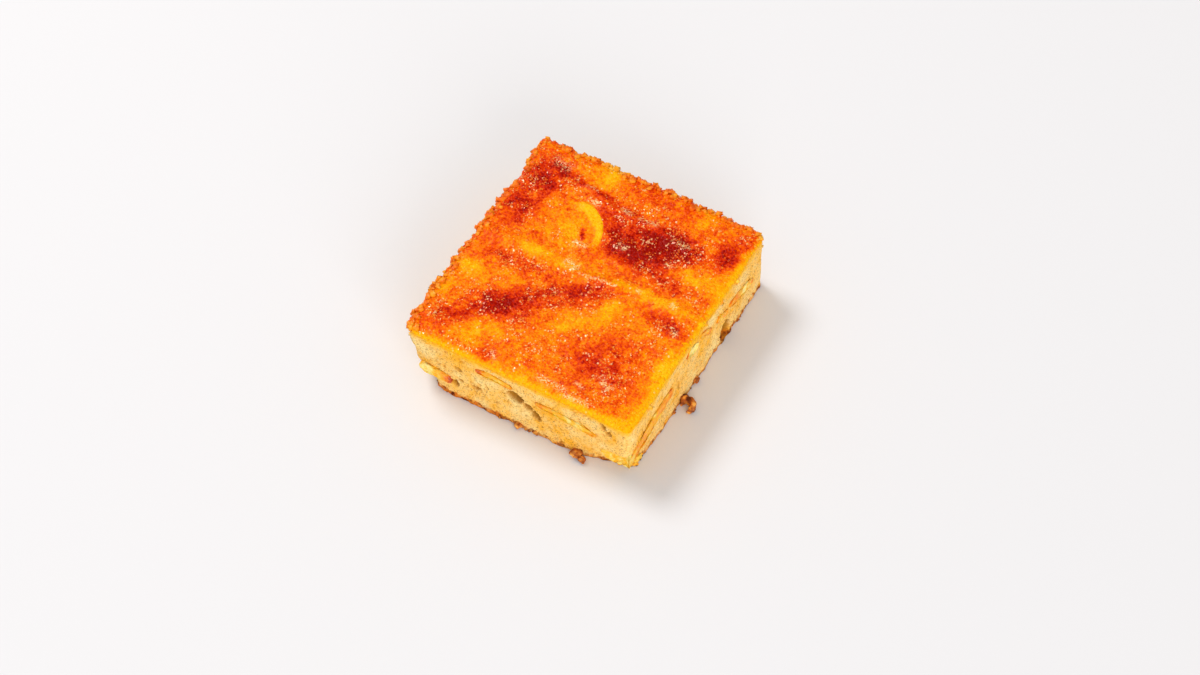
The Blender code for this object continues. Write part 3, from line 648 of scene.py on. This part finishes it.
def painted_glints(x, y):
    """How strongly whitish glints are painted on the caramel, in streaks along the folds."""
    flat = np.stack([x, y, np.zeros_like(x)], 1)
    spot_x = x - MAP_SHIFT[0] + 0.3 * ripple(flat, 1.5, 50)
    spot_y = y - MAP_SHIFT[1] + 0.3 * ripple(flat, 1.5, 51)
    streaks = sum(s * along_line(spot_x, spot_y, x0, y0, x1, y1, w) for x0, y0, x1, y1, w, s in PAINTED_GLINT_STREAKS)
    return streaks * (0.75 + 0.6 * ripple(flat, 0.9, 52))


def round_corners(x, y):
    """The rectangle's points moved so that its corners are round; the flat middle stays."""
    radius = np.where((x < 0) & (y < 0), FRONT_LEFT_ROUND, ROUND)
    over_x = np.clip((np.abs(x) - HALF[0] + radius) / radius, 0, 1)
    over_y = np.clip((np.abs(y) - HALF[1] + radius) / radius, 0, 1)
    corner = (over_x > 0) & (over_y > 0)
    new_x = HALF[0] - radius + radius * over_x * np.sqrt(1 - over_y**2 / 2)
    new_y = HALF[1] - radius + radius * over_y * np.sqrt(1 - over_x**2 / 2)
    return np.where(corner, np.sign(x) * new_x, x), np.where(corner, np.sign(y) * new_y, y)


def rim_facing(x, y):
    """Which way the nearest wall faces, the nearest point of the rim, and how far in each point lies."""
    radius = np.where((x < 0) & (y < 0), FRONT_LEFT_ROUND, ROUND)
    place = np.stack([x, y], 1)
    outside = np.abs(place) - HALF
    over = np.clip(outside + radius[:, None], 0, None)
    corner = (over > 0).all(1)
    length = np.maximum(np.hypot(over[:, 0], over[:, 1]), 1e-6)
    nearer_x = outside[:, 0] > outside[:, 1]
    straight = np.stack([nearer_x, ~nearer_x], 1).astype(float)
    way = np.where(corner[:, None], over / length[:, None], straight) * np.sign(place)
    depth = np.where(corner, radius - length, -outside.max(1))
    return way, place + way * depth[:, None], depth


columns, rows = round(WIDTH / TOP_FACET) + 1, round(LENGTH / TOP_FACET) + 1
grid_x, grid_y = np.meshgrid(np.linspace(-HALF[0], HALF[0], columns), np.linspace(-HALF[1], HALF[1], rows))
x, y = round_corners(grid_x.ravel(), grid_y.ravel())
way, rim, depth = rim_facing(x, y)
level = top_height(x, y)
rim_out = wander(np.column_stack([rim, np.full(len(x), HEIGHT - 1.2)]), way)
sheet = np.column_stack([x, y, level])
sheet[:, :2] += way * (rim_out * ease(4.5, 0, depth))[:, None]
sheet += corner_shift(sheet)
torn = np.clip(np.maximum(-way[:, 0], way[:, 1]), 0, 1)
grainy = 0.13 * ripple(sheet, 0.85) + 0.14 * ripple(sheet, 1.7) + 0.12 * ripple(sheet, 3.0, 8)
ragged = (0.55 * ripple(sheet, 1.6, 4) + 0.5 * ripple(sheet, 3.4, 6) - 0.35) * ease(3.2, 0, depth) * torn
sheet[:, 2] += grainy + ragged - 0.55 * ease(1.0, 0, depth) ** 2

# The pocket under the bare slice of orange
TOP_SLICE_HALF = np.array([10.5, 13.5])
TOP_SLICE_TURN = 24


def in_top_slice(x, y):
    """Places in the top slice's own measure, 1 at its rim, and the angle round it in degrees."""
    across, along = turned(x - TOP_SLICE_PLACE[0], y - TOP_SLICE_PLACE[1], -TOP_SLICE_TURN)
    across, along = across / TOP_SLICE_HALF[0], along / TOP_SLICE_HALF[1]
    return np.hypot(across, along), np.degrees(np.arctan2(along, across))


reach, _ = in_top_slice(x, y)
sheet[:, 2] -= POCKET * ease(0.95, 0.88, reach)

# The sides go down in rings from the sheet's edge, and a flat face closes the foot
index = np.arange(rows * columns).reshape(rows, columns)
edge = np.concatenate([index[0, :-1], index[:-1, -1], index[-1, :0:-1], index[:0:-1, 0]])
side = [sheet]
for step in range(1, SIDE_RINGS + 1):
    share = step / SIDE_RINGS
    point = sheet[edge].copy()
    point[:, 2] = sheet[edge, 2] * (1 - share) + TOPPING_FOOT * share
    spot = np.column_stack([rim[edge], point[:, 2]])
    fresh = wander(spot, way[edge]) + 0.12 * ripple(spot, 0.9)
    point[:, :2] = rim[edge] + way[edge] * fresh[:, None]
    point += corner_shift(point)
    side.append(point)
topping_points = np.vstack(side)
faces = grid_faces(rows, columns)
count = len(edge)
rings = [edge.tolist()] + [
    list(range(start, start + count)) for start in range(len(sheet), len(topping_points), count)]
for above, below in zip(rings, rings[1:]):
    for here in range(count):
        beside = (here + 1) % count
        faces.append((above[beside], above[here], below[here], below[beside]))
faces.append(tuple(rings[-1])[::-1])

along_torn = np.concatenate([torn] + [torn[edge]] * SIDE_RINGS)
pale_side = ease(28.3, 27.4, topping_points[:, 2]) * (1 - along_torn)
brown = browning(x, y)
brown = np.concatenate([brown] + [brown[edge]] * SIDE_RINGS)
topping_values = {
    "browning": brown * (1 - 0.9 * pale_side) + 0.12 * pale_side,
    # Where whitish glints are painted on the caramel top; none on its sides
    "painted_glint": np.concatenate([painted_glints(x, y), np.zeros(SIDE_RINGS * count)]),
    "torn_rim": np.concatenate([torn * ease(3.0, 0.5, depth), np.tile(0.6 * torn[edge], SIDE_RINGS)]),
}

# Caramelised orange: clear amber syrup over fruit, glossy and grainy with sugar, with whitish glints painted
# in flecks along the folds. The grains are drawn nearly a millimetre wide, twice their size, so that they
# show.
caramel, tree, place = blank_material("caramelised_orange")
brown_tone = add(tree, "ShaderNodeAttribute", attribute_name="browning").outputs["Fac"]
painted_glint_tone = add(tree, "ShaderNodeAttribute", attribute_name="painted_glint").outputs["Fac"]
grain = add(tree, "ShaderNodeTexNoise", {"Vector": place, "Scale": 1100, "Detail": 2, "Roughness": 0.5})
crystals = add(tree, "ShaderNodeTexVoronoi", {"Vector": place, "Scale": 1300})
swing = add(tree, "ShaderNodeMath", {0: grain, 1: 0.5}, operation="SUBTRACT")
deeper = add(tree, "ShaderNodeMath", {0: swing, 1: 0.7, 2: brown_tone}, operation="MULTIPLY_ADD")
colour = add(tree, "ShaderNodeValToRGB", {"Fac": deeper}, stops=(
    (0.0, "#ffc410"), (1.0, "#960800"), (0.2, "#ffaa00"), (0.42, "#ff8400"),
    (0.6, "#f25400"), (0.78, "#d62c00"), (0.9, "#b21200")))
# Whitish flecks mixed into the colour along the streaks are painted glints, where light catches the wet
# caramel
glint_flecks = add(tree, "ShaderNodeTexNoise", {"Vector": place, "Scale": 1500, "Detail": 1})
painted_glint_share = add(tree, "ShaderNodeMapRange", {"Value": glint_flecks, "From Min": 0.48, "From Max": 0.56, "To Max": 1.5})
painted_glint_share = add(tree, "ShaderNodeMath", {0: painted_glint_share, 1: painted_glint_tone}, operation="MULTIPLY", use_clamp=True)
with_painted_glints = add(tree, "ShaderNodeMix", {0: painted_glint_share, 6: colour, 7: shade("#ffe2a0")}, data_type="RGBA")
height = add(tree, "ShaderNodeMath", {0: crystals.outputs["Distance"], 1: -0.6, 2: grain},
             operation="MULTIPLY_ADD")
bump = add(tree, "ShaderNodeBump", {"Height": height, "Strength": 0.9, "Distance": 0.0006})
surface = add(tree, "ShaderNodeBsdfPrincipled", {
    "Base Color": with_painted_glints.outputs[2], "Roughness": 0.2, "Normal": bump,
    "Specular IOR Level": 0.1, "Coat Weight": 0.03, "Coat Roughness": 0.12})
add(tree, "ShaderNodeOutputMaterial", {"Surface": surface})

topping = skin("caramelised_top", topping_points, faces, caramel, topping_values, flat_from=len(faces) - 1)
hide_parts("caramel_topping")
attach(topping, "root")


# The bare slice of orange in the top
# One round of orange lay flat in the tin. Syrup covers it but for a crescent of yellow rim, which stands
# a little proud of the scorched caramel beside it.
UNDERSIDE = 27.2
rings, around = 66, 220
share, turn = np.meshgrid(
    np.linspace(1 / rings, 1.0, rings), np.linspace(0, 2 * math.pi, around, endpoint=False), indexing="ij")
across = np.append(share * np.cos(turn), 0.0) * TOP_SLICE_HALF[0]
along = np.append(share * np.sin(turn), 0.0) * TOP_SLICE_HALF[1]
x, y = turned(across, along, TOP_SLICE_TURN)
x, y = x + TOP_SLICE_PLACE[0], y + TOP_SLICE_PLACE[1]
reach, angle = in_top_slice(x, y)
flat = np.stack([x, y, np.zeros_like(x)], 1)
inner = 0.52 + 0.14 * np.abs(np.radians(angle - 38)) - 0.12 * ripple(flat, 2.5, 60)
crescent = ease(-48, -10, angle) * ease(105, 70, angle) * ease(inner - 0.05, inner + 0.2, reach)
z = top_height(x, y) + 0.13 * ripple(flat + (0, 0, 28), 0.85) + 0.14 * ripple(flat, 1.7)
z = z + 0.12 * ripple(flat + (0, 0, 28), 3.0, 8) + 0.4 * crescent * ease(1.0, 0.95, reach) + 0.04
z = z - 0.35 * (1 - crescent) * ease(0.92, 1.0, reach)
outer, centre, under = (rings - 1) * around, rings * around, rings * around + 1
underside = np.column_stack([x, y, np.full_like(x, UNDERSIDE)])[outer:centre]
points = np.vstack([np.column_stack([x, y, z]), underside])
faces = grid_faces(rings, around, closed=True)
for column in range(around):
    faces.append((column, (column + 1) % around, centre))
for column in range(around):
    beside = (column + 1) % around
    faces.append((outer + column, under + column, under + beside, outer + beside))
faces.append(tuple(range(under, under + around))[::-1])
faces = [face[::-1] for face in faces]
tone = browning(x, y) * (1 - crescent) + (0.08 + 0.05 * ripple(flat, 1.5, 61)) * crescent
mark = along_line(x - MAP_SHIFT[0], y - MAP_SHIFT[1], -14, 20.5, -11, 15.5, 0.9)
tone = tone + 0.45 * mark
round_values = {
    "browning": np.append(tone, tone[outer:centre]),
    "painted_glint": np.append(painted_glints(x, y), np.zeros(around)),
}
top_slice = skin("bare_orange_round", points, faces, caramel, round_values)
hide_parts("orange_slice_top")
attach(top_slice, "root")


# Sugar and crumbs
# Sugar grains that didn't melt sit on the caramel and catch the light. Crumbs of cake and fruit hang on to
# the torn edges, the foot and the front right corner. All are scattered over the finished surfaces.
FLOOR_GAP = 0.0001


def read(rows, name, width=1):
    """The numbers of that name in a mesh's vertices, normals or attribute, as an array."""
    numbers = np.empty(len(rows) * width)
    rows.foreach_get(name, numbers)
    return numbers.reshape(-1, width) if width > 1 else numbers


def scatter(name, carrier, material, seed, sizes):
    """Lumpy grains spread over a surface where its density number allows, as a mesh of their own."""
    tree = bpy.data.node_groups.new(name, "GeometryNodeTree")
    tree.interface.new_socket("Geometry", in_out="INPUT", socket_type="NodeSocketGeometry")
    for title in ("Grains per square metre", "Smallest", "Largest", "Flatness", "Sunk"):
        tree.interface.new_socket(title, in_out="INPUT", socket_type="NodeSocketFloat")
    tree.interface.new_socket("Geometry", in_out="OUTPUT", socket_type="NodeSocketGeometry")
    given = add(tree, "NodeGroupInput").outputs
    where = add(tree, "GeometryNodeInputNamedAttribute", {"Name": sizes["where"]}, data_type="FLOAT")
    density = add(tree, "ShaderNodeMath", {0: where, 1: given["Grains per square metre"]},
                  operation="MULTIPLY")
    spread = add(tree, "GeometryNodeDistributePointsOnFaces", {
        "Mesh": given["Geometry"], "Density": density, "Seed": seed})
    bead = add(tree, "GeometryNodeMeshUVSphere", {
        "Segments": sizes["sides"], "Rings": sizes["bands"], "Radius": 0.5})
    place = add(tree, "GeometryNodeInputPosition")
    rough = add(tree, "ShaderNodeTexNoise", {"Vector": place, "Scale": 2.3, "Detail": 1})
    centred = add(tree, "ShaderNodeVectorMath", {0: rough.outputs["Color"], 1: (0.5, 0.5, 0.5)},
                  operation="SUBTRACT")
    jagged = add(tree, "ShaderNodeVectorMath", {0: centred, "Scale": 1.15}, operation="SCALE")
    lumpy = add(tree, "GeometryNodeSetPosition", {"Geometry": bead, "Offset": jagged})
    size = add(tree, "FunctionNodeRandomValue", {2: given["Smallest"], 3: given["Largest"], "Seed": seed + 1},
               data_type="FLOAT")
    flat = add(tree, "ShaderNodeMath", {0: size.outputs[1], 1: given["Flatness"]}, operation="MULTIPLY")
    scale = add(tree, "ShaderNodeCombineXYZ", {0: size.outputs[1], 1: size.outputs[1], 2: flat})
    spin = add(tree, "FunctionNodeRandomValue", {0: (0, 0, 0), 1: (0, 0, 2 * math.pi), "Seed": seed + 2},
               data_type="FLOAT_VECTOR")
    spun = add(tree, "FunctionNodeRotateRotation", {
        "Rotation": spread.outputs["Rotation"], "Rotate By": spin}, rotation_space="LOCAL")
    set_in = add(tree, "GeometryNodeInstanceOnPoints", {
        "Points": spread, "Instance": lumpy, "Rotation": spun, "Scale": scale})
    sunk = add(tree, "ShaderNodeCombineXYZ", {2: given["Sunk"]})
    lowered = add(tree, "GeometryNodeTranslateInstances", {
        "Instances": set_in, "Translation": sunk, "Local Space": True})
    real = add(tree, "GeometryNodeRealizeInstances", {"Geometry": lowered})
    smooth = add(tree, "GeometryNodeSetShadeSmooth", {
        "Geometry": real, "Shade Smooth": sizes.get("smooth", True)})
    dressed = add(tree, "GeometryNodeSetMaterial", {"Geometry": smooth, "Material": material})
    add(tree, "NodeGroupOutput", {"Geometry": dressed})
    grains = put(name, carrier.data)
    modifier = grains.modifiers.new(name, "NODES")
    modifier.node_group = tree
    for item in tree.interface.items_tree:
        if item.in_out == "INPUT" and item.name in sizes:
            modifier[item.identifier] = sizes[item.name]
    mesh = bpy.data.meshes.new_from_object(grains.evaluated_get(bpy.context.evaluated_depsgraph_get()))
    spots = read(mesh.vertices, "co", 3)
    spots[:, 2] = np.maximum(spots[:, 2], FLOOR_GAP)
    mesh.vertices.foreach_set("co", spots.ravel())
    mesh.update()
    grains.modifiers.clear()
    grains.data = mesh
    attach(grains, "root")
    return grains


# Sugar: clear grains stained amber by the syrup, with bright facets; patches of them are mixed towards pale
# cream, partly the white of undissolved sugar and partly painted glint
sugar, tree, place = blank_material("syrup_sugar")
under = add(tree, "ShaderNodeAttribute", attribute_name="browning").outputs["Fac"]
tint = add(tree, "ShaderNodeValToRGB", {"Fac": under}, stops=(
    (0.15, "#ffd058"), (0.9, "#e8601c"), (0.5, "#ffa034")))
# Pale cream mixed into some grains: partly white sugar, partly painted glint
pale_and_glint_noise = add(tree, "ShaderNodeTexNoise", {"Vector": place, "Scale": 500, "Detail": 1})
share = add(tree, "ShaderNodeMapRange", {"Value": pale_and_glint_noise, "From Min": 0.5, "From Max": 0.62, "To Max": 0.4})
pale_sugar_and_painted_glint = add(tree, "ShaderNodeMix", {0: share, 6: tint, 7: shade("#ffeab4")}, data_type="RGBA")
surface = add(tree, "ShaderNodeBsdfPrincipled", {
    "Base Color": pale_sugar_and_painted_glint.outputs[2], "Roughness": 0.14, "Coat Weight": 1.0, "Coat Roughness": 0.08})
add(tree, "ShaderNodeOutputMaterial", {"Surface": surface})

for obj, amount in ((topping, 0.55), (top_slice, 0.45)):
    mesh = obj.data
    upward = read(mesh.vertex_normals, "vector", 3)[:, 2] > 0.6
    painted_glint = read(mesh.attributes["painted_glint"].data, "value")
    brown = read(mesh.attributes["browning"].data, "value")
    spots = read(mesh.vertices, "co", 3) * 1000
    clump = ease(-0.2, 0.5, ripple(spots, 6.0, 70) + 0.7 * ripple(spots, 2.0, 71))
    clump = clump * (0.2 + ease(0.25, 0.7, brown))
    layer = mesh.attributes.new("sugared", "FLOAT", "POINT")
    layer.data.foreach_set("value", (np.clip(amount * clump + painted_glint, 0, 1) * upward).astype(np.float32))
    grains = scatter("sugar_on_" + obj.name, obj, sugar, 5, {
        "where": "sugared", "sides": 5, "bands": 4, "smooth": False, "Grains per square metre": 1.9e6,
        "Smallest": 0.0002, "Largest": 0.00085, "Flatness": 0.55, "Sunk": 0.00002})

# Torn crumbs: sponge and fruit soaked through with bright orange syrup
soaked, tree, place = blank_material("syrup_soaked_crumbs")
mottle = add(tree, "ShaderNodeTexNoise", {"Vector": place, "Scale": 420, "Detail": 3})
beneath = add(tree, "ShaderNodeAttribute", attribute_name="browning").outputs["Fac"]
deeper = add(tree, "ShaderNodeMath", {0: beneath, 1: 0.75, 2: -0.45}, operation="MULTIPLY_ADD")
deeper = add(tree, "ShaderNodeMath", {0: mottle, 1: 1.1, 2: deeper}, operation="MULTIPLY_ADD")
colour = add(tree, "ShaderNodeValToRGB", {"Fac": deeper}, stops=(
    (0.0, "#ffd652"), (1.0, "#c83404"), (0.3, "#ffa81c"), (0.6, "#fa7008")))
bump = add(tree, "ShaderNodeBump", {"Height": mottle, "Strength": 0.6, "Distance": 0.0004})
surface = add(tree, "ShaderNodeBsdfPrincipled", {
    "Base Color": colour, "Roughness": 0.35, "Normal": bump, "Specular IOR Level": 0.3})
add(tree, "ShaderNodeOutputMaterial", {"Surface": surface})

# Each kind of crumb: name, surface, material, seed, where it lies, how many in a square metre, its smallest
# and largest size in millimetres, how flat it is, how far it sinks in, and slot
for name, carrier, material, seed, where, number, smallest, largest, flatness, sunk, slot in (
        ("crumbs_on_torn_top", topping, soaked, 11, "torn_rim", 4.5e5, 0.9, 3.0, 0.75, 0.2, "caramel"),
        ("crumbs_on_torn_wall", sponge, crumb, 17, "torn_rim", 1.5e5, 0.6, 2.0, 0.8, 0.1, "crumb"),
        ("crumbs_on_foot", sponge, crust, 23, "loose_crust", 2.5e5, 0.5, 1.8, 0.8, 0.1, "crumb"),
        ("pulp_on_front_right_corner", sponge, soaked, 29, "loose_pulp", 5e5, 0.6, 2.6, 0.6, 0.1,
         "orange_flesh")):
    crumbs = scatter(name, carrier, material, seed, {
        "where": where, "sides": 8, "bands": 6, "Grains per square metre": number,
        "Smallest": smallest / 1000, "Largest": largest / 1000, "Flatness": flatness, "Sunk": sunk / 1000})


# The studio
# A pale table, a broad soft lamp high on the left and behind, and a white room that fills the shadows.
AIM = Vector((np.array([11.19, -9.71, 13.0]) + MIDDLE) / 1000)
CAMERA_AZIMUTH, CAMERA_ELEVATION, CAMERA_DISTANCE = math.radians(29.7), math.radians(53.6), 1.4513
TABLE_HALF, TABLE_TOP = 3, -0.0001
table = put("table", bpy.data.meshes.new("table"))
corners = ((-1, -1), (1, -1), (1, 1), (-1, 1))
table.data.from_pydata([(a * TABLE_HALF, b * TABLE_HALF, TABLE_TOP) for a, b in corners], [], [(0, 1, 2, 3)])
board, tree, _ = blank_material("white_painted_table")
surface = add(tree, "ShaderNodeBsdfPrincipled", {
    "Base Color": shade("#e6e6ea"), "Roughness": 0.7, "Specular IOR Level": 0.2})
add(tree, "ShaderNodeOutputMaterial", {"Surface": surface})
table.data.materials.append(board)

world = bpy.data.worlds.new("white_room")
bpy.context.scene.world = world
world.use_nodes = True
world.node_tree.nodes.clear()
sky = add(world.node_tree, "ShaderNodeBackground", {"Color": shade("#fffcf6"), "Strength": 0.62})
add(world.node_tree, "ShaderNodeOutputWorld", {"Surface": sky})
world.cycles_visibility.glossy = False

# A lamp high on the left, and a large white card that lights the cut walls but isn't mirrored in the syrup:
# shape, size, watts, colour, which way it stands, how far off and how much higher, and if it is mirrored
for name, shape, size, power, colour, way, reach, lift, mirrored in (
        ("soft_lamp", "DISK", 1.0, 36, (1.0, 0.98, 0.96), (-0.60, 0.16, 0.80), 2.6, 0.0, True),
        ("fill_card", "SQUARE", 1.6, 35, (1.0, 1.0, 1.0), (0.70, -0.70, 0.24), 2.4, 0.2, False)):
    light = bpy.data.lights.new(name, "AREA")
    light.shape = shape
    light.size = size
    light.energy = power
    light.color = colour
    way = Vector(way).normalized()
    lamp = put(name, light)
    lamp.location = way * reach + Vector((0, 0, lift))
    lamp.rotation_euler = (-way).to_track_quat("-Z", "Y").to_euler()
    lamp.visible_glossy = mirrored

camera_data = bpy.data.cameras.new("camera")
camera_data.sensor_width = 36
camera_data.lens = 120
camera_data.clip_start = 0.01
camera = put("camera", camera_data)
away = Vector((math.sin(CAMERA_AZIMUTH) * math.cos(CAMERA_ELEVATION),
               -math.cos(CAMERA_AZIMUTH) * math.cos(CAMERA_ELEVATION), math.sin(CAMERA_ELEVATION)))
camera.location = AIM + away * CAMERA_DISTANCE
camera.rotation_euler = (-away).to_track_quat("-Z", "Y").to_euler()
bpy.context.scene.camera = camera
bpy.context.scene.view_settings.view_transform = "Standard"
